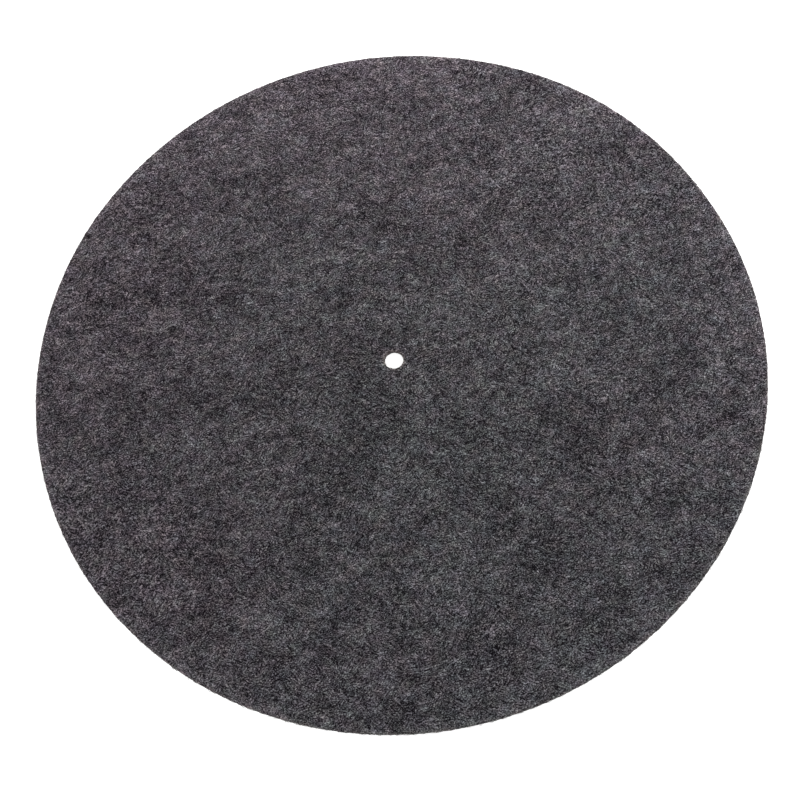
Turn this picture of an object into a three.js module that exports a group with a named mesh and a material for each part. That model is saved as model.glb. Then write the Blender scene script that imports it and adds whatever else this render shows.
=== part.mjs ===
// A felt mat for a record player's platter, in millimetres, with +Z up.
// The real mat is one piece: a disc die-cut from needle-punched felt sheet, with a hole punched in the middle
// for the platter's spindle. It lies flat on the platter, and a record lies on it.
// The origin is the centre of the hole, on the face that rests on the platter.
import * as THREE from "three";

// The disc
const MAT_DIAMETER = 300;
const FELT_THICKNESS = 2.5;

// The hole: a record spindle is 7.2 mm thick, and the punch leaves room round it.
const SPINDLE_DIAMETER = 7.2;
const SPINDLE_CLEARANCE = 0.3; // on each side

// A die presses the felt's edges down as it cuts, so each edge is a small round.
const RIM_EDGE_RADIUS = 0.6;
const HOLE_EDGE_RADIUS = 0.4;

// How finely the rounds are faceted
const STEPS_AROUND = 160;
const STEPS_PER_EDGE = 4;

const FELT_COLOUR = 0x49464a;

// A quarter round of the section, from one angle to the next. The points run anticlockwise.
function roundedCorner(centreR, centreZ, radius, fromAngle) {
  const points = [];
  for (let step = 0; step <= STEPS_PER_EDGE; step += 1) {
    const angle = fromAngle + (step / STEPS_PER_EDGE) * (Math.PI / 2);
    points.push(new THREE.Vector2(centreR + radius * Math.cos(angle), centreZ + radius * Math.sin(angle)));
  }
  return points;
}

// The section through the felt, from the hole's wall to the rim, as (distance from the axis, height).
function feltSection() {
  const rimRadius = MAT_DIAMETER / 2;
  const holeRadius = SPINDLE_DIAMETER / 2 + SPINDLE_CLEARANCE;
  const rimRound = Math.min(RIM_EDGE_RADIUS, 0.45 * FELT_THICKNESS);
  const holeRound = Math.min(HOLE_EDGE_RADIUS, 0.45 * FELT_THICKNESS);
  const section = [
    ...roundedCorner(holeRadius + holeRound, holeRound, holeRound, Math.PI),
    ...roundedCorner(rimRadius - rimRound, rimRound, rimRound, 1.5 * Math.PI),
    ...roundedCorner(rimRadius - rimRound, FELT_THICKNESS - rimRound, rimRound, 0),
    ...roundedCorner(holeRadius + holeRound, FELT_THICKNESS - holeRound, holeRound, 0.5 * Math.PI),
  ];
  section.push(section[0].clone());
  return section;
}

// LatheGeometry turns its section about +Y, so the disc is stood up to turn about +Z.
function feltDisc() {
  return new THREE.LatheGeometry(feltSection(), STEPS_AROUND).rotateX(Math.PI / 2);
}

const feltMaterial = new THREE.MeshStandardMaterial({ color: FELT_COLOUR, roughness: 0.95, metalness: 0 });

const feltMat = new THREE.Mesh(feltDisc(), feltMaterial);
feltMat.name = "felt_mat";

const platterMat = new THREE.Group();
platterMat.add(feltMat);

export default platterMat;
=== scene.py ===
import math

import bpy
import numpy as np
from mathutils import Matrix, Vector
from mathutils.bvhtree import BVHTree


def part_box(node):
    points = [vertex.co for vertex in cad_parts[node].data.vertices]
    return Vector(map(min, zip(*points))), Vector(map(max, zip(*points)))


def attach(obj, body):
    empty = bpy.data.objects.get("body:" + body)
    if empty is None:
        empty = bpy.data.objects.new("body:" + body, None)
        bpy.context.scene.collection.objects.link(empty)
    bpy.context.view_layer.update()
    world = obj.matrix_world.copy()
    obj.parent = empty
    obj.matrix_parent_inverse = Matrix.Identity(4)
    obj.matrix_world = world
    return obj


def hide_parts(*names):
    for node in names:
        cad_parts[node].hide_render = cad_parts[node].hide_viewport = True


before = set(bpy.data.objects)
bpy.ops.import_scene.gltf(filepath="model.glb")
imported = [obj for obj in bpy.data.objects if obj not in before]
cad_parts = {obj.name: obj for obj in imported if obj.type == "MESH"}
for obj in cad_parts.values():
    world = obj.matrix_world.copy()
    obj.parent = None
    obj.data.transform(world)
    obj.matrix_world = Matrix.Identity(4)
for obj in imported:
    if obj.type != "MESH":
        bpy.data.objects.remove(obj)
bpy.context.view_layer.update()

# The camera stands a little over half a metre from the mat and looks down on it at 68 degrees, turned
# so that the round outline's long axis rises to the right as it does in the photograph. All places and
# sizes in this script are in metres, except the lens and the sensor, in millimetres.
CAMERA_LENS = 57.98
CAMERA_SENSOR = 36
CAMERA_TILT = math.radians(22.143)
CAMERA_ROLL = math.radians(-12.484)
CAMERA_DISTANCE = 0.52455
CAMERA_AIM = Vector((-0.001130, -0.017065, 0.0))
CAMERA_RANGE = (0.01, 20)

bpy.ops.object.select_all(action="DESELECT")
camera_turn = Matrix.Rotation(CAMERA_TILT, 3, "X") @ Matrix.Rotation(CAMERA_ROLL, 3, "Z")
bpy.ops.object.camera_add(
    location=CAMERA_AIM + camera_turn @ Vector((0, 0, CAMERA_DISTANCE)),
    rotation=camera_turn.to_euler(),
)
camera = bpy.context.object
camera.name = "photo_camera"
camera.data.lens = CAMERA_LENS
camera.data.sensor_width = CAMERA_SENSOR
camera.data.clip_start, camera.data.clip_end = CAMERA_RANGE
bpy.context.scene.camera = camera
bpy.context.scene.view_settings.view_transform = "Standard"

# The studio: a white table top in a white room, with square soft lights hung round the mat. The table goes
# to white for the camera, and keeps the thin shadow that the mat casts on it.
TABLE_SIZE = 8.0
TABLE_DROP = 0.0001
TABLE_COLOUR = (0.8, 0.8, 0.8, 1)
TABLE_GLOW = 0.80
ROOM_LIGHT = 0.256
WHITE = (1, 1, 1, 1)
SOFTBOXES = (  # name, place, width, watts
    ("back_right_softbox", (0.25, 0.40, 0.20), 0.20, 1.73),
    ("back_left_softbox", (-0.10, 0.33, 0.16), 0.14, 0.45),
    ("left_softbox", (-0.36, -0.05, 0.20), 0.16, 0.27),
    ("right_softbox", (0.36, -0.05, 0.20), 0.16, 0.58),
    ("front_softbox", (-0.10, -0.36, 0.20), 0.16, 0.30),
)


def seen_as_backdrop(tree):
    """1 for rays from the camera and for rays that a surface mirrors or lets through, else 0."""
    ray = tree.nodes.new("ShaderNodeLightPath")
    seen = ray.outputs["Is Camera Ray"]
    for kind in ("Is Glossy Ray", "Is Transmission Ray"):
        either = tree.nodes.new("ShaderNodeMath")
        either.operation = "MAXIMUM"
        tree.links.new(seen, either.inputs[0])
        tree.links.new(ray.outputs[kind], either.inputs[1])
        seen = either.outputs[0]
    return seen


bpy.ops.object.select_all(action="DESELECT")
bpy.ops.mesh.primitive_plane_add(size=TABLE_SIZE, location=(0, 0, -TABLE_DROP))
table_top = bpy.context.object
table_top.name = "table_top"
bpy.ops.object.transform_apply(location=True, rotation=True, scale=True)
table_white = bpy.data.materials.new("table_white")
table_white.use_nodes = True
tree = table_white.node_tree
tree.nodes.clear()
table_output = tree.nodes.new("ShaderNodeOutputMaterial")
table_diffuse = tree.nodes.new("ShaderNodeBsdfDiffuse")
table_diffuse.inputs["Color"].default_value = TABLE_COLOUR
table_glow = tree.nodes.new("ShaderNodeEmission")
glow_strength = tree.nodes.new("ShaderNodeMath")
glow_strength.operation = "MULTIPLY"
glow_strength.inputs[1].default_value = TABLE_GLOW
tree.links.new(seen_as_backdrop(tree), glow_strength.inputs[0])
tree.links.new(glow_strength.outputs[0], table_glow.inputs["Strength"])
table_sum = tree.nodes.new("ShaderNodeAddShader")
tree.links.new(table_diffuse.outputs[0], table_sum.inputs[0])
tree.links.new(table_glow.outputs[0], table_sum.inputs[1])
tree.links.new(table_sum.outputs[0], table_output.inputs["Surface"])
table_top.data.materials.append(table_white)

room = bpy.data.worlds.new("white_room")
bpy.context.scene.world = room
room.use_nodes = True
tree = room.node_tree
tree.nodes.clear()
room_output = tree.nodes.new("ShaderNodeOutputWorld")
room_light = tree.nodes.new("ShaderNodeBackground")
room_light.inputs["Color"].default_value = WHITE
room_light.inputs["Strength"].default_value = ROOM_LIGHT
room_white = tree.nodes.new("ShaderNodeBackground")
room_white.inputs["Color"].default_value = WHITE
room_mix = tree.nodes.new("ShaderNodeMixShader")
tree.links.new(seen_as_backdrop(tree), room_mix.inputs[0])
tree.links.new(room_light.outputs[0], room_mix.inputs[1])
tree.links.new(room_white.outputs[0], room_mix.inputs[2])
tree.links.new(room_mix.outputs[0], room_output.inputs["Surface"])

for name, place, width, watts in SOFTBOXES:
    bpy.ops.object.select_all(action="DESELECT")
    facing_mat = Vector(place).to_track_quat("Z", "Y").to_euler()
    bpy.ops.object.light_add(type="AREA", location=place, rotation=facing_mat)
    softbox = bpy.context.object
    softbox.name = name
    softbox.data.size = width
    softbox.data.energy = watts
    softbox.visible_camera = False

# The mat: one disc die-cut from a sheet of needle-punched felt, 2.5 mm thick, with a hole punched in its
# middle for the spindle. The die leaves both edges slightly rounded. The felt is uneven to the touch, and
# not quite flat: its rim lifts a little in three places.
felt_low, felt_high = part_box("felt_mat")
FELT_RADIUS = (felt_high.x - felt_low.x) / 2
FELT_THICKNESS = felt_high.z - felt_low.z
HOLE_RADIUS = 0.0039
RIM_ROUND = 0.0006
HOLE_ROUND = 0.0004
ROUND_STEPS = 4
STEPS_AROUND = 480
RINGS_ON_TOP = 104
RINGS_UNDERNEATH = 44
SAME_HEIGHT = 1e-5
SAME_RADIUS = 1e-4
LUMPS = (  # size across, height from hollow to crest
    (0.0070, 0.00030),
    (0.0220, 0.00028),
)
LUMP_FACES = (  # face, share of the lumps' height, the level of the lumps that stays in place
    ("top_face", 1.0, 0.5),
    ("underside", 0.4, 0.0),
)
RIM_LIFTS = (  # degrees round the mat, lift, how far it reaches
    (41, 0.0012, 0.075),
    (145, 0.00045, 0.060),
    (205, 0.0004, 0.060),
)


def mesh_numbers(items, name, width=1, kind=float):
    """One property of every vertex, edge, face or corner of a mesh. It has width numbers for each."""
    numbers = np.empty(len(items) * width, dtype=kind)
    items.foreach_get(name, numbers)
    return numbers.reshape(-1, width) if width > 1 else numbers


def select_edges(mesh, wanted):
    """Selects only the edges for which wanted(one end, other end) holds. The mesh is in object mode."""
    places = mesh_numbers(mesh.vertices, "co", 3)
    ends = mesh_numbers(mesh.edges, "vertices", 2, np.int32)
    mesh.vertices.foreach_set("select", np.zeros(len(mesh.vertices), dtype=bool))
    mesh.polygons.foreach_set("select", np.zeros(len(mesh.polygons), dtype=bool))
    mesh.edges.foreach_set("select", wanted(places[ends[:, 0]], places[ends[:, 1]]))


def from_centre(places):
    """How far places (place, xyz) are from the mat's axis."""
    return np.hypot(places[:, 0], places[:, 1])


bpy.ops.object.select_all(action="DESELECT")
bpy.ops.mesh.primitive_cylinder_add(
    vertices=STEPS_AROUND,
    radius=FELT_RADIUS,
    depth=FELT_THICKNESS,
    end_fill_type="NGON",
    location=(0, 0, FELT_THICKNESS / 2),
)
felt = bpy.context.object
felt.name = "felt_disc"
bpy.ops.object.transform_apply(location=True, rotation=True, scale=True)

# Punch the hole: a small round is inset in each face, and the two are bridged
bpy.ops.object.mode_set(mode="EDIT")
bpy.ops.mesh.select_mode(type="FACE")
bpy.ops.mesh.select_all(action="DESELECT")
bpy.ops.object.mode_set(mode="OBJECT")
for face in felt.data.polygons:
    face.select = abs(face.normal.z) > 0.9
bpy.ops.object.mode_set(mode="EDIT")
bpy.ops.mesh.inset(thickness=FELT_RADIUS - HOLE_RADIUS)
bpy.ops.mesh.bridge_edge_loops()
bpy.ops.mesh.select_mode(type="EDGE")

# Cut rings into both faces by dividing the edges that run from the hole to the rim, for the lumps to bend
for face_height, rings in ((FELT_THICKNESS, RINGS_ON_TOP), (0, RINGS_UNDERNEATH)):
    bpy.ops.object.mode_set(mode="OBJECT")
    select_edges(
        felt.data,
        lambda a, b: (np.abs(a[:, 2] - face_height) < SAME_HEIGHT)
        & (np.abs(b[:, 2] - face_height) < SAME_HEIGHT)
        & (np.abs(from_centre(a) - from_centre(b)) > FELT_RADIUS / 2),
    )
    bpy.ops.object.mode_set(mode="EDIT")
    bpy.ops.mesh.subdivide_edgering(number_cuts=rings, interpolation="LINEAR", smoothness=0)

# Round the edges that the die and the punch press down
for edge_radius, edge_round in ((FELT_RADIUS, RIM_ROUND), (HOLE_RADIUS, HOLE_ROUND)):
    bpy.ops.object.mode_set(mode="OBJECT")
    select_edges(
        felt.data,
        lambda a, b: (np.abs(from_centre(a) - edge_radius) < SAME_RADIUS)
        & (np.abs(from_centre(b) - edge_radius) < SAME_RADIUS)
        & (np.abs(a[:, 2] - b[:, 2]) < SAME_HEIGHT),
    )
    bpy.ops.object.mode_set(mode="EDIT")
    bpy.ops.mesh.bevel(offset=edge_round, segments=ROUND_STEPS, profile=0.5, affect="EDGES")
bpy.ops.mesh.select_all(action="SELECT")
bpy.ops.mesh.normals_make_consistent(inside=False)
bpy.ops.object.mode_set(mode="OBJECT")
bpy.ops.object.shade_smooth()

# Raise the lumps. On top they go up and down, and underneath they are lower and only rise off the platter
places = mesh_numbers(felt.data.vertices, "co", 3)
level = places[:, 2] / FELT_THICKNESS * 2 - 1
for group_name, weights in (("top_face", np.clip(level, 0, 1)), ("underside", np.clip(-level, 0, 1))):
    group = felt.vertex_groups.new(name=group_name)
    for weight in np.unique(weights[weights > 0]):
        group.add(np.flatnonzero(weights == weight).tolist(), float(weight), "REPLACE")
for size, height in LUMPS:
    lumps = bpy.data.textures.new(f"felt_lumps_{size}", "CLOUDS")
    lumps.noise_scale = size
    lumps.noise_depth = 3
    for group_name, share, still_level in LUMP_FACES:
        uneven = felt.modifiers.new(f"{group_name}_{size}", "DISPLACE")
        uneven.texture = lumps
        uneven.texture_coords = "LOCAL"
        uneven.direction = "Z"
        uneven.mid_level = still_level
        uneven.strength = height * share
        uneven.vertex_group = group_name
        bpy.ops.object.modifier_apply(modifier=uneven.name)


def rim_lift(points):
    """How far the sheet is lifted off the platter at points (..., xy)."""
    lifted = np.zeros(points.shape[:-1])
    for degrees, lift, reach in RIM_LIFTS:
        toward = math.radians(degrees)
        crest = FELT_RADIUS * np.array([math.cos(toward), math.sin(toward)])
        near = np.clip(1 - np.linalg.norm(points - crest, axis=-1) / reach, 0, 1)
        lifted += lift * near**2 * (3 - 2 * near)
    return lifted


places = mesh_numbers(felt.data.vertices, "co", 3)
places[:, 2] += rim_lift(places[:, :2])
felt.data.vertices.foreach_set("co", places.ravel())
felt.data.update()

# Unroll the felt's map: the top face with both cut edges into one large round, and the underside into a
# small one beside it
TOP_MAP_MIDDLE = 0.365
TOP_MAP_RADIUS = 0.345
UNDERSIDE_MAP_MIDDLE = 0.79
UNDERSIDE_MAP_RADIUS = 0.19
UNROLLED_RADIUS = FELT_RADIUS + 0.0035  # of the top face with the rim's whole edge folded out
HOLE_EDGE_END = 0.006
RIM_EDGE_START = FELT_RADIUS - 0.002
FACING_UP = 0.99
corner_vertex = mesh_numbers(felt.data.loops, "vertex_index", kind=np.int32)
face_up = mesh_numbers(felt.data.polygons, "normal", 3)[:, 2]
face_corners = mesh_numbers(felt.data.polygons, "loop_total", kind=np.int32)
corner = places[corner_vertex]
out = from_centre(corner)
depth = np.clip(FELT_THICKNESS - corner[:, 2], 0, FELT_THICKNESS)
upper = depth < FELT_THICKNESS / 2
rolled_out = np.where(
    out > FELT_RADIUS / 2,
    np.where(upper, out + depth, 2 * FELT_RADIUS - out + depth),
    np.where(upper, out - depth, 2 * HOLE_RADIUS - out - depth),
)
on_flat_face = np.repeat(face_up > FACING_UP, face_corners) & (out > HOLE_EDGE_END) & (out < RIM_EDGE_START)
on_underside = np.repeat(face_up < -FACING_UP, face_corners)
top_reach = np.where(on_flat_face, out, rolled_out) / UNROLLED_RADIUS * TOP_MAP_RADIUS
map_reach = np.where(on_underside, out / FELT_RADIUS * UNDERSIDE_MAP_RADIUS, top_reach)
map_middle = np.where(on_underside, UNDERSIDE_MAP_MIDDLE, TOP_MAP_MIDDLE)
map_places = map_middle[:, None] + corner[:, :2] / out[:, None] * map_reach[:, None]
felt_map = felt.data.uv_layers.new(name="OFBake")
felt_map.uv.foreach_set("vector", map_places.astype(np.float32).ravel())

# The felt's colour: charcoal, mid grey and a little pale fibre, carded together and needled flat. The blend
# is never even, so it clouds over a few centimetres and breaks up into tufts, hairs and dark lines. The
# dark lines are partly dark fibres and partly painted shade in the pits between the hairs. A shade of 0 is
# nearly black, 0.5 is charcoal, 1 is mid grey and 1.4 is pale grey.
CLOUDS = {"size": 0.0240, "detail": 5.0, "roughness": 0.62, "seed": 3.1, "distortion": 0.4}
CLOUD_CONTRAST = 0.104
TUFTS = {"size": 0.0044, "detail": 3.0, "roughness": 0.6, "seed": 8.4, "distortion": 0.6}
TUFT_CONTRAST = 0.195
TUFT_STRETCH = 0.75  # width of a tuft over its length, which lies along X, the way of the carding
GRAIN = {"size": 0.00050, "detail": 0.0, "roughness": 0.5, "seed": 9.3}
GRAIN_CONTRAST = 0.35
GRAIN_STRETCH = 0.85
CARDING_SPREAD = math.radians(70)
COMBED_HAIRS = (  # size of a patch, length of a hair, width of a hair, seed
    (0.0026, 0.0018, 0.00040, 5.7),
    (0.0050, 0.0026, 0.00038, 2.2),
)
COMBED_RANGE = (0.78, 1.22)  # of the two kinds added together
COMBED_SHADES = (0.176, 0.735)
PALE_LINES = (  # size of the bends, thickness as a share of the noise, seed
    (0.0036, 0.018, 1.3),
    (0.0026, 0.024, 4.9),
)
# partly dark fibres, partly painted shade in the pits between the hairs
DARK_FIBRES_AND_PIT_SHADE = (
    (0.0032, 0.022, 2.4),
    (0.0023, 0.028, 7.7),
)
LINE_BREAKS = (0.46, 0.54)  # from no line to a full line, in the noise that breaks them up
LINE_CONTRAST = 0.33
# Painted highlight: paler towards the rim for the light that its fuzz catches, and on the hole's wall and
# round, painted light over the shade that falls there
RIM_PAINTED_HIGHLIGHT = (FELT_RADIUS, -0.0065, 0.41)  # edge, where it starts from there, the root of how much paler
HOLE_PAINTED_LIGHT = (HOLE_RADIUS, 0.0014, 0.53)
GREYS = (  # shade, colour
    (-0.30, (0.0011, 0.0003, 0.0015)),
    (0.00, (0.0043, 0.0033, 0.0048)),
    (0.25, (0.0230, 0.0202, 0.0241)),
    (0.50, (0.0631, 0.0579, 0.0647)),
    (0.75, (0.1343, 0.1259, 0.1363)),
    (1.00, (0.2445, 0.2321, 0.2465)),
    (1.40, (0.5011, 0.4814, 0.5023)),
)
WARM_TINT = (1.090, 0.978, 1.016)  # a lean of 0
COOL_TINT = (0.925, 1.022, 0.995)  # a lean of 1
BROAD_HUE = {"size": 0.110, "detail": 2.0, "roughness": 0.5, "seed": 6.4}
BROAD_LEAN = (0.60, 0.00)
SMALL_HUE = {"size": 0.0055, "detail": 1.0, "roughness": 0.6, "seed": 1.9}
SMALL_LEAN = (-0.20, 0.50)
# painted light: the warmth of the light from behind, painted as a redder back of the mat and a cooler front
PAINTED_BACK_LIGHT_LEAN = 0.19  # added at the front of the mat and taken off at its back
CUT_EDGE_LEAN = -0.3
BLUE_HUE = {"size": 0.0085, "detail": 4.0, "roughness": 0.7, "seed": 4.3}
BLUE_SHARE = (0.930, 1.070)
BLUE_OUTWARD = (-0.012, 0.014)  # added in the middle of the mat, and at its rim
CUT_EDGE_BLUE = -0.12
RIM_CUT = (FELT_RADIUS, -0.0012, 0.6)  # edge, where it starts from there, its share of the cut's colour
HOLE_CUT = (HOLE_RADIUS, 0.0012, 1.0)
FELT_SKIN = {
    "Roughness": 0.92,
    "Specular IOR Level": 0.05,
    "Sheen Weight": 0.04,
    "Sheen Roughness": 0.55,
    "Sheen Tint": (0.66, 0.60, 0.67, 1),
}
RELIEF_STRENGTH = 0.5
RELIEF_DEPTH = 0.00025


def add_node(tree, kind, links=(), **settings):
    """Adds a node with its settings, and links (input, output) pairs."""
    node = tree.nodes.new(kind)
    for name, value in settings.items():
        setattr(node, name, value)
    for socket, output in links:
        tree.links.new(output, node.inputs[socket])
    return node


def combine(tree, operation, *values):
    """One step of arithmetic on sockets or numbers."""
    step = add_node(tree, "ShaderNodeMath", operation=operation)
    for socket, value in zip(step.inputs, values):
        if isinstance(value, (int, float)):
            socket.default_value = value
        else:
            tree.links.new(value, socket)
    return step.outputs[0]


def add_up(tree, first, *others):
    """The sum of sockets."""
    for other in others:
        first = combine(tree, "ADD", first, other)
    return first


def spread(tree, value, low, high, to_low=0.0, to_high=1.0):
    """Maps a value from one span to another, and holds it there."""
    span = add_node(tree, "ShaderNodeMapRange", [("Value", value)])
    for name, number in zip(("From Min", "From Max", "To Min", "To Max"), (low, high, to_low, to_high)):
        span.inputs[name].default_value = number
    return span.outputs[0]


def scaled(tree, where, scale):
    """A place with each axis multiplied by a number."""
    stretched = add_node(tree, "ShaderNodeVectorMath", [(0, where)], operation="MULTIPLY")
    stretched.inputs[1].default_value = scale
    return stretched.outputs[0]


def moved_by(tree, where, seed):
    """The same place in another part of the noise."""
    moved = add_node(tree, "ShaderNodeVectorMath", [(0, where)], operation="ADD")
    moved.inputs[1].default_value = (seed, seed * 0.7, seed * 0.3)
    return moved.outputs[0]


def felt_noise(tree, where, size, detail, roughness, seed, distortion=0.0):
    """A noise from 0 to 1 whose blotches are about size metres across."""
    noise = add_node(tree, "ShaderNodeTexNoise", [("Vector", moved_by(tree, where, seed))])
    noise.inputs["Scale"].default_value = 1 / size
    noise.inputs["Detail"].default_value = detail
    noise.inputs["Roughness"].default_value = roughness
    noise.inputs["Distortion"].default_value = distortion
    return noise.outputs["Fac"]


def swing(tree, noise, low, high, span=0.2):
    """Stretches a noise to go from low to high, since most of it is within span of its middle, 0.5."""
    return spread(tree, noise, 0.5 - span, 0.5 + span, low, high)


def from_axis(tree, where):
    """How far a place is from the mat's axis."""
    flat = scaled(tree, where, (1, 1, 0))
    return add_node(tree, "ShaderNodeVectorMath", [(0, flat)], operation="LENGTH").outputs["Value"]


def near_edge(tree, where, edge, inward, most):
    """Rises from 0, inward of a cut edge, to most at the edge. Inward is negative at the rim."""
    return spread(tree, from_axis(tree, where), edge + inward, edge, 0.0, most)


def loose_lines(tree, where, size, thickness, seed):
    """Thin curved lines, as loose fibres lie: the level lines of a noise, broken up by another noise."""
    bends = felt_noise(tree, where, size, detail=2.0, roughness=0.5, seed=seed, distortion=0.6)
    away = combine(tree, "ABSOLUTE", combine(tree, "SUBTRACT", bends, 0.5))
    line = spread(tree, away, 0.0, thickness, 1.0, 0.0)
    breaks = felt_noise(tree, where, size * 0.6, detail=1.0, roughness=0.5, seed=seed + 7)
    return combine(tree, "MULTIPLY", line, spread(tree, breaks, *LINE_BREAKS))


def combed_patches(tree, where, patch, length, width, seed):
    """Short straight hairs. The face is cut into small patches, and in each the hairs lie their own way, as
    far as CARDING_SPREAD to either side of the carding direction, which is X."""
    moved = moved_by(tree, where, seed)
    cells = add_node(tree, "ShaderNodeTexVoronoi", [("Vector", moved)], voronoi_dimensions="2D")
    cells.inputs["Scale"].default_value = 1 / patch
    heading = add_node(tree, "ShaderNodeSeparateColor", [("Color", cells.outputs["Color"])]).outputs[0]
    turned = add_node(tree, "ShaderNodeVectorRotate", [("Vector", moved)], rotation_type="Z_AXIS")
    tree.links.new(spread(tree, heading, 0.0, 1.0, -CARDING_SPREAD, CARDING_SPREAD), turned.inputs["Angle"])
    drawn = scaled(tree, turned.outputs[0], (1 / length, 1 / width, 1 / width))
    hairs = add_node(tree, "ShaderNodeTexNoise", [("Vector", drawn)])
    hairs.inputs["Scale"].default_value = 1.0
    hairs.inputs["Detail"].default_value = 0.5
    return hairs.outputs["Fac"]


def mottle_and_edge_light(tree, where):
    """The uneven blend, from about -0.3, dark, to 0.3, pale, plus painted highlight at the cut edges: paler
    at the rim for the light that its fuzz catches, and on the hole's wall and round, painted light over
    their shade.
    """
    clouds = swing(tree, felt_noise(tree, where, **CLOUDS), -CLOUD_CONTRAST, CLOUD_CONTRAST)
    drawn = scaled(tree, where, (TUFT_STRETCH, 1, 1))
    tufts = swing(tree, felt_noise(tree, drawn, **TUFTS), -TUFT_CONTRAST, TUFT_CONTRAST, span=0.25)
    painted_edge_light = [combine(tree, "POWER", near_edge(tree, where, *lit_edge), 2.0) for lit_edge in (RIM_PAINTED_HIGHLIGHT, HOLE_PAINTED_LIGHT)]
    return add_up(tree, clouds, tufts, *painted_edge_light)


def felt_grey(tree, where, shade):
    """The grey of a shade, with a slight lean to red, green, blue or yellow from place to place. It is
    redder at the back of the mat than at the front, which is the painted warmth of the light from behind,
    bluer towards the rim, and tanner where it is cut."""
    darkest, palest = GREYS[0][0], GREYS[-1][0]
    greys = add_node(tree, "ShaderNodeValToRGB", [("Fac", spread(tree, shade, darkest, palest))])
    stops = greys.color_ramp.elements
    stops[0].color = (*GREYS[0][1], 1)
    stops[1].color = (*GREYS[-1][1], 1)
    for level, grey in GREYS[1:-1]:
        stops.new((level - darkest) / (palest - darkest)).color = (*grey, 1)
    cut_edge = combine(
        tree, "MAXIMUM", near_edge(tree, where, *RIM_CUT), near_edge(tree, where, *HOLE_CUT)
    )
    toward_back = add_node(tree, "ShaderNodeSeparateXYZ", [("Vector", where)]).outputs["Y"]
    lean = add_up(
        tree,
        swing(tree, felt_noise(tree, where, **BROAD_HUE), *BROAD_LEAN),
        swing(tree, felt_noise(tree, where, **SMALL_HUE), *SMALL_LEAN),
        spread(tree, toward_back, -FELT_RADIUS, FELT_RADIUS, PAINTED_BACK_LIGHT_LEAN, -PAINTED_BACK_LIGHT_LEAN),
        combine(tree, "MULTIPLY", cut_edge, CUT_EDGE_LEAN),
    )
    tint = add_node(tree, "ShaderNodeMix", [("Factor", lean)], data_type="RGBA")
    tint.inputs[6].default_value = (*WARM_TINT, 1)
    tint.inputs[7].default_value = (*COOL_TINT, 1)
    blue = add_up(
        tree,
        swing(tree, felt_noise(tree, where, **BLUE_HUE), *BLUE_SHARE),
        spread(tree, from_axis(tree, where), 0.0, FELT_RADIUS, *BLUE_OUTWARD),
        combine(tree, "MULTIPLY", cut_edge, CUT_EDGE_BLUE),
    )
    blued = add_node(tree, "ShaderNodeCombineColor", [("Blue", blue)])
    blued.inputs["Red"].default_value = 1.0
    blued.inputs["Green"].default_value = 1.0
    colour = greys.outputs["Color"]
    for share in (tint.outputs[2], blued.outputs[0]):
        product = add_node(tree, "ShaderNodeMix", data_type="RGBA", blend_type="MULTIPLY")
        product.inputs["Factor"].default_value = 1.0
        tree.links.new(colour, product.inputs[6])
        tree.links.new(share, product.inputs[7])
        colour = product.outputs[2]
    return colour


heathered = bpy.data.materials.new("heathered_felt")
heathered.use_nodes = True
tree = heathered.node_tree
skin = tree.nodes["Principled BSDF"]
for socket, value in FELT_SKIN.items():
    skin.inputs[socket].default_value = value
where = add_node(tree, "ShaderNodeTexCoord").outputs["Object"]
combed = combine(tree, "ADD", *(combed_patches(tree, where, *hairs) for hairs in COMBED_HAIRS))
pale_lines = combine(tree, "MAXIMUM", *(loose_lines(tree, where, *lines) for lines in PALE_LINES))
dark_fibres_and_pit_shade = combine(tree, "MAXIMUM", *(loose_lines(tree, where, *lines) for lines in DARK_FIBRES_AND_PIT_SHADE))
grain = felt_noise(tree, scaled(tree, where, (GRAIN_STRETCH, 1, 1)), **GRAIN)
shade = add_up(
    tree,
    mottle_and_edge_light(tree, where),
    spread(tree, combed, *COMBED_RANGE, *COMBED_SHADES),
    swing(tree, grain, -GRAIN_CONTRAST, GRAIN_CONTRAST),
    combine(tree, "MULTIPLY", dark_fibres_and_pit_shade, -LINE_CONTRAST),
    combine(tree, "MULTIPLY", pale_lines, LINE_CONTRAST),
)
tree.links.new(felt_grey(tree, where, shade), skin.inputs["Base Color"])
relief = add_node(tree, "ShaderNodeBump", [("Height", shade)])
relief.inputs["Strength"].default_value = RELIEF_STRENGTH
relief.inputs["Distance"].default_value = RELIEF_DEPTH
tree.links.new(relief.outputs[0], skin.inputs["Normal"])
felt.data.materials.append(heathered)
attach(felt, "root")
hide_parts("felt_mat")

# The hairs of both faces: single fibres of the felt, a few millimetres long, that needling has left loose.
# They bend over the surface and dive back into it at both ends. On top they are pale or dark and cover each
# other, and each is a closed tube with three sides.
TUBE_SIDES = 3
MAP_MARGIN = 0.1  # of each hair's cell in the map
LENGTH_SPREAD = 0.30  # standard deviation of the length's logarithm
HEADING_SPREAD = 1.2  # standard deviation of the way a hair lies, in radians from X
BEND_CHANGE = 200  # half of what a bend changes in a metre, over the usual bend
HAIR_CREST = (0.00006, 0.00022)  # how far a hair's middle is above its ends
HAIR_DIVE = 0.00008  # how deep the ends go
HAIR_THICKNESSES = (0.7, 1.25)
HAIR_SHADE_DRAW = (1.6, 2.2)  # of a beta distribution between a piece's darkest and palest shade
FIBRE_SKIN = {"Roughness": 0.8, "Specular IOR Level": 0.1}
# what the hairs take from the felt includes its painted highlight at the cut edges
FIBRE_MOTTLE = 0.7  # the share of the felt's own mottle that its loose hairs show
LOOKING_DOWN = -1
LOOKING_UP = 1
LOOK_FROM = 0.01  # how far above or below the platter a look starts
TINY = 1e-9  # in place of a length of 0

bpy.context.view_layer.update()
felt_surface = BVHTree.FromObject(felt, bpy.context.evaluated_depsgraph_get())


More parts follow.
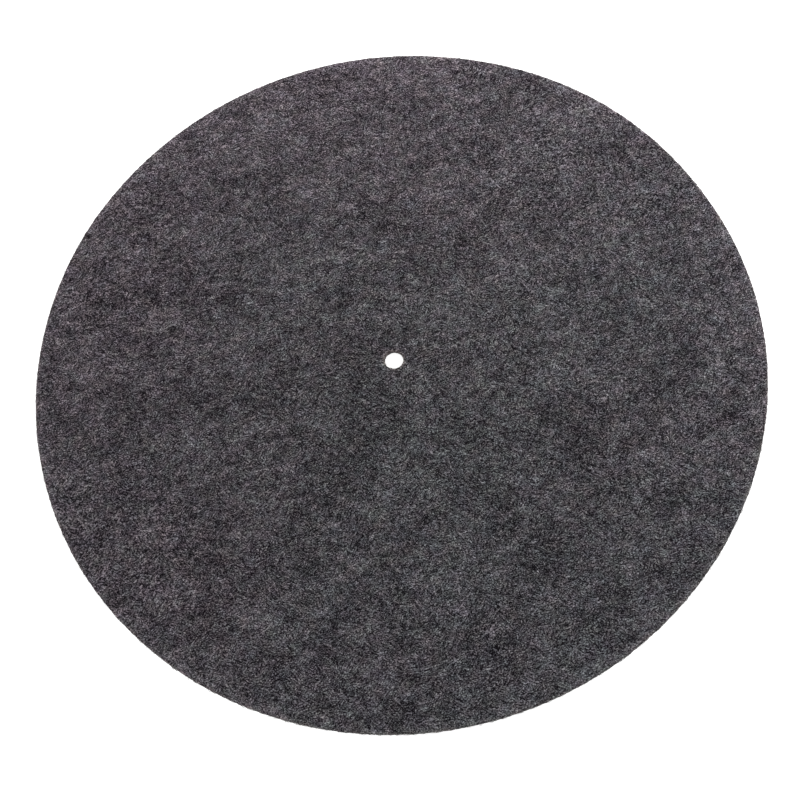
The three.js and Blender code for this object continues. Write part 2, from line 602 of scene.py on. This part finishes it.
def hair_tubes(spines, thicknesses, facing):
    """The corners, faces and map of tubes round spines (hair, point, xyz), with a point at both ends.
    facing is the way out of the felt."""
    count, points = spines.shape[:2]
    run = np.gradient(spines, axis=1)
    run /= np.linalg.norm(run, axis=2, keepdims=True)
    side = np.cross(run, facing)
    side /= np.maximum(np.linalg.norm(side, axis=2, keepdims=True), TINY)
    up = np.cross(side, run)
    rings = points - 2
    lines = []
    for line in range(TUBE_SIDES):
        turn = math.pi / 2 - math.tau * line / TUBE_SIDES
        away = math.cos(turn) * side[:, 1:-1] + math.sin(turn) * up[:, 1:-1]
        lines.append(spines[:, 1:-1] + thicknesses[:, None, None] / 2 * away)
    ring_corners = np.stack(lines, axis=2).reshape(count, -1, 3)
    corners = np.concatenate([ring_corners, spines[:, :1], spines[:, -1:]], axis=1)
    start_point = TUBE_SIDES * rings
    end_point = start_point + 1
    last_ring = TUBE_SIDES * (rings - 1)
    faces = []
    unrolled = []  # how far along the tube and how far round it each corner of each face is
    for line in range(TUBE_SIDES):
        after = (line + 1) % TUBE_SIDES
        low, high = line / TUBE_SIDES, (line + 1) / TUBE_SIDES
        faces.append((start_point, after, line))
        unrolled.append(((0, (low + high) / 2), (1, high), (1, low)))
        faces.append((end_point, last_ring + line, last_ring + after))
        unrolled.append(((rings + 1, (low + high) / 2), (rings, low), (rings, high)))
        for ring in range(rings - 1):
            a, b = TUBE_SIDES * ring + line, TUBE_SIDES * ring + after
            faces += [(a, b, b + TUBE_SIDES), (a, b + TUBE_SIDES, a + TUBE_SIDES)]
            here, next_ring = ring + 1, ring + 2
            unrolled += [((here, low), (here, high), (next_ring, high))]
            unrolled += [((here, low), (next_ring, high), (next_ring, low))]
    first_corner = np.arange(count) * corners.shape[1]
    faces = (np.array(faces)[None] + first_corner[:, None, None]).reshape(-1, 3)
    cells_across = math.ceil(math.sqrt(count))
    cell = np.stack([np.arange(count) % cells_across, np.arange(count) // cells_across], axis=1)
    in_cell = np.array(unrolled, dtype=float) / (rings + 1, 1) * (1 - 2 * MAP_MARGIN) + MAP_MARGIN
    unrolled = (cell[:, None, None] + in_cell[None]) / cells_across
    return corners.reshape(-1, 3), faces, unrolled.reshape(-1, 2)


def hair_piece(name, spines, thicknesses, shades, facing):
    """One object of many hairs. Each hair's shade is an attribute that its colour reads."""
    corners, faces, unrolled = hair_tubes(spines, thicknesses, facing)
    corner_shades = np.repeat(shades, len(corners) // len(spines)).astype(np.float32)
    mesh = bpy.data.meshes.new(name)
    mesh.vertices.add(len(corners))
    mesh.vertices.foreach_set("co", corners.astype(np.float32).ravel())
    mesh.loops.add(faces.size)
    mesh.loops.foreach_set("vertex_index", faces.astype(np.int32).ravel())
    mesh.polygons.add(len(faces))
    mesh.polygons.foreach_set("loop_start", np.arange(0, faces.size, 3, dtype=np.int32))
    mesh.update(calc_edges=True)
    mesh.polygons.foreach_set("use_smooth", np.ones(len(faces), dtype=bool))
    mesh.attributes.new("hair_shade", "FLOAT", "POINT").data.foreach_set("value", corner_shades)
    mesh.uv_layers.new(name="OFBake").uv.foreach_set("vector", unrolled.astype(np.float32).ravel())
    piece = bpy.data.objects.new(name, mesh)
    bpy.context.collection.objects.link(piece)
    material = bpy.data.materials.new(name + "_fibre")
    material.use_nodes = True
    tree = material.node_tree
    fibre = tree.nodes["Principled BSDF"]
    for socket, value in FIBRE_SKIN.items():
        fibre.inputs[socket].default_value = value
    own_shade = add_node(tree, "ShaderNodeAttribute", attribute_name="hair_shade").outputs["Fac"]
    where = add_node(tree, "ShaderNodeTexCoord").outputs["Object"]
    shade = combine(tree, "ADD", own_shade, combine(tree, "MULTIPLY", mottle_and_edge_light(tree, where), FIBRE_MOTTLE))
    tree.links.new(felt_grey(tree, where, shade), fibre.inputs["Base Color"])
    mesh.materials.append(material)
    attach(piece, "root")


def on_felt(flat, lift, looking):
    """Gives flat points (hair, point, xy) the height of the felt's own face, and lifts them off it."""
    spines = np.empty((*flat.shape[:2], 3))
    spines[..., :2] = flat
    for index in np.ndindex(flat.shape[:2]):
        x, y = flat[index]
        hit = felt_surface.ray_cast(Vector((x, y, -LOOK_FROM * looking)), Vector((0, 0, looking)))[0]
        spines[index][2] = hit.z - looking * lift[index]
    return spines


def curved_hairs(random, count, length, bend, segments):
    """Flat curved hairs about the origin (hair, point, xy). bend is in radians a metre."""
    lengths = length * np.exp(random.normal(0, LENGTH_SPREAD, count))
    along = np.linspace(-0.5, 0.5, segments + 1)[None] * lengths[:, None]
    bends = random.normal(0, bend, count)[:, None]
    twists = random.normal(0, bend * BEND_CHANGE, count)[:, None]
    heading = random.normal(0, HEADING_SPREAD, count)[:, None] + bends * along + twists * along**2
    middle = (heading[:, 1:] + heading[:, :-1]) / 2
    step = np.diff(along, axis=1)
    steps = np.stack([np.cos(middle) * step, np.sin(middle) * step], axis=2)
    flat = np.concatenate([np.zeros((count, 1, 2)), np.cumsum(steps, axis=1)], axis=1)
    return flat - flat.mean(axis=1, keepdims=True)


def scatter_hairs(name, count, seed, length, bend, thickness, segments, shades, looking=LOOKING_DOWN):
    """Lays hairs all over the face that is seen by looking down or up, clear of the rim and the hole."""
    random = np.random.default_rng(seed)
    flat = curved_hairs(random, count, length, bend, segments)
    inner, outer = HOLE_RADIUS + HOLE_ROUND, FELT_RADIUS - RIM_ROUND
    radius = np.sqrt(random.uniform(inner**2, outer**2, count))
    angle = random.uniform(0, math.tau, count)
    flat += np.stack([radius * np.cos(angle), radius * np.sin(angle)], axis=1)[:, None]
    reach = np.hypot(flat[..., 0], flat[..., 1])
    kept = (reach.max(axis=1) < outer) & (reach.min(axis=1) > inner)
    crest = random.uniform(*HAIR_CREST, count)[:, None]
    lift = np.sin(np.linspace(0, math.pi, segments + 1))[None] * crest - HAIR_DIVE
    thicknesses = thickness * random.uniform(*HAIR_THICKNESSES, count)
    darkest, palest = shades
    own_shades = darkest + (palest - darkest) * random.beta(*HAIR_SHADE_DRAW, count)
    spines = on_felt(flat[kept], lift[kept], looking)
    spines[..., 2] = np.maximum(spines[..., 2], thicknesses[kept][:, None] / 2)
    hair_piece(name, spines, thicknesses[kept], own_shades[kept], (0.0, 0.0, -float(looking)))


scatter_hairs(
    "pale_hairs", count=11000, seed=11, length=0.0021, bend=300,
    thickness=0.00017, segments=3, shades=(0.60, 1.20),
)
scatter_hairs(
    "long_hairs", count=4000, seed=12, length=0.0042, bend=240,
    thickness=0.00016, segments=5, shades=(0.60, 1.20),
)
scatter_hairs(
    "dark_hairs", count=11000, seed=13, length=0.0021, bend=260,
    thickness=0.00019, segments=3, shades=(-0.15, 0.22),
)
scatter_hairs(
    "underside_hairs", count=9000, seed=14, length=0.0036, bend=240,
    thickness=0.00016, segments=3, shades=(0.0, 1.0), looking=LOOKING_UP,
)

# The hairs of the cut edges: round the rim and the hole the die leaves short ends and loops that stand off
# the edge by a fraction of a millimetre, so that the outline looks soft. They are a little paler, which is
# a painted highlight for the light that the fuzz of the edges catches.
EDGE_FLAT = 0.0008  # how far the hairs of an edge reach onto either face
EDGE_SEGMENTS = 4
EDGE_SQUEEZE = 0.55  # of a hair's height, so that it lies more along the edge than across it
EDGE_CREST_DRAW = (1.6, 0.00012)  # of a gamma distribution, held between the least and the most below
EDGE_CREST = (0.00004, 0.0007)
EDGE_DIVE = 0.00006
FREE_HAIRS = 0.35  # the share that is rooted at one end alone
FREE_RISE = 1.3  # of their free end, over the crest that a hair with both ends rooted would have
FREE_CURVE = 1.5
EDGE_THICKNESSES = (0.6, 1.2)
# paler than the hairs of the faces: painted highlight for the light that the edges' fuzz catches
EDGE_SHADES = (0.30, 1.20)
EDGE_SHADE_DRAW = (2.0, 1.8)


def edge_hairs(name, count, seed, length, bend, thickness, radius, rounding, outward):
    """Hairs that lie along a cut edge and over its rounds. outward is 1 at the rim and -1 at the hole."""
    random = np.random.default_rng(seed)
    flat = curved_hairs(random, count, length, bend, EDGE_SEGMENTS)
    flat[..., 1] *= EDGE_SQUEEZE
    quarter = math.pi / 2 * rounding
    wall = FELT_THICKNESS - 2 * rounding
    down = random.uniform(0, EDGE_FLAT + 2 * quarter + wall + EDGE_FLAT, count)[:, None] + flat[..., 1]
    around = random.uniform(0, math.tau, count)[:, None] + flat[..., 0] / radius
    over = np.clip((down - EDGE_FLAT) / rounding, 0, math.pi / 2)
    under = np.clip((down - EDGE_FLAT - quarter - wall) / rounding, 0, math.pi / 2)
    tilt = over + under
    flat_top = np.clip(EDGE_FLAT - down, 0, None)
    flat_under = np.clip(down - EDGE_FLAT - 2 * quarter - wall, 0, None)
    fall = np.clip(down - EDGE_FLAT - quarter, 0, wall)
    out = -rounding + rounding * np.sin(tilt) - flat_top - flat_under
    height = FELT_THICKNESS - rounding * (1 - np.cos(over)) - fall - rounding * np.sin(under)
    free = random.uniform(0, 1, count)[:, None] < FREE_HAIRS
    run = np.linspace(0, 1, EDGE_SEGMENTS + 1)[None]
    crest = random.gamma(*EDGE_CREST_DRAW, count)[:, None].clip(*EDGE_CREST)
    lift = np.where(free, run**FREE_CURVE * crest * FREE_RISE, np.sin(run * math.pi) * crest) - EDGE_DIVE
    out = out + np.sin(tilt) * lift
    height = height + np.cos(tilt) * lift
    distance = radius + outward * out
    spines = np.stack([distance * np.cos(around), distance * np.sin(around), height], axis=2)
    spines[..., 2] += rim_lift(spines[..., :2])
    sideways = outward * np.sin(tilt)
    facing = np.stack([sideways * np.cos(around), sideways * np.sin(around), np.cos(tilt)], axis=2)
    thicknesses = thickness * random.uniform(*EDGE_THICKNESSES, count)
    spines[..., 2] = np.maximum(spines[..., 2], thicknesses[:, None] / 2)
    darkest, palest = EDGE_SHADES
    own_shades = darkest + (palest - darkest) * random.beta(*EDGE_SHADE_DRAW, count)
    hair_piece(name, spines, thicknesses, own_shades, facing)


edge_hairs(
    "rim_hairs", count=6000, seed=21, length=0.0030, bend=220,
    thickness=0.00012, radius=FELT_RADIUS, rounding=RIM_ROUND, outward=1,
)
edge_hairs(
    "hole_hairs", count=220, seed=22, length=0.0018, bend=300,
    thickness=0.00009, radius=HOLE_RADIUS, rounding=HOLE_ROUND, outward=-1,
)
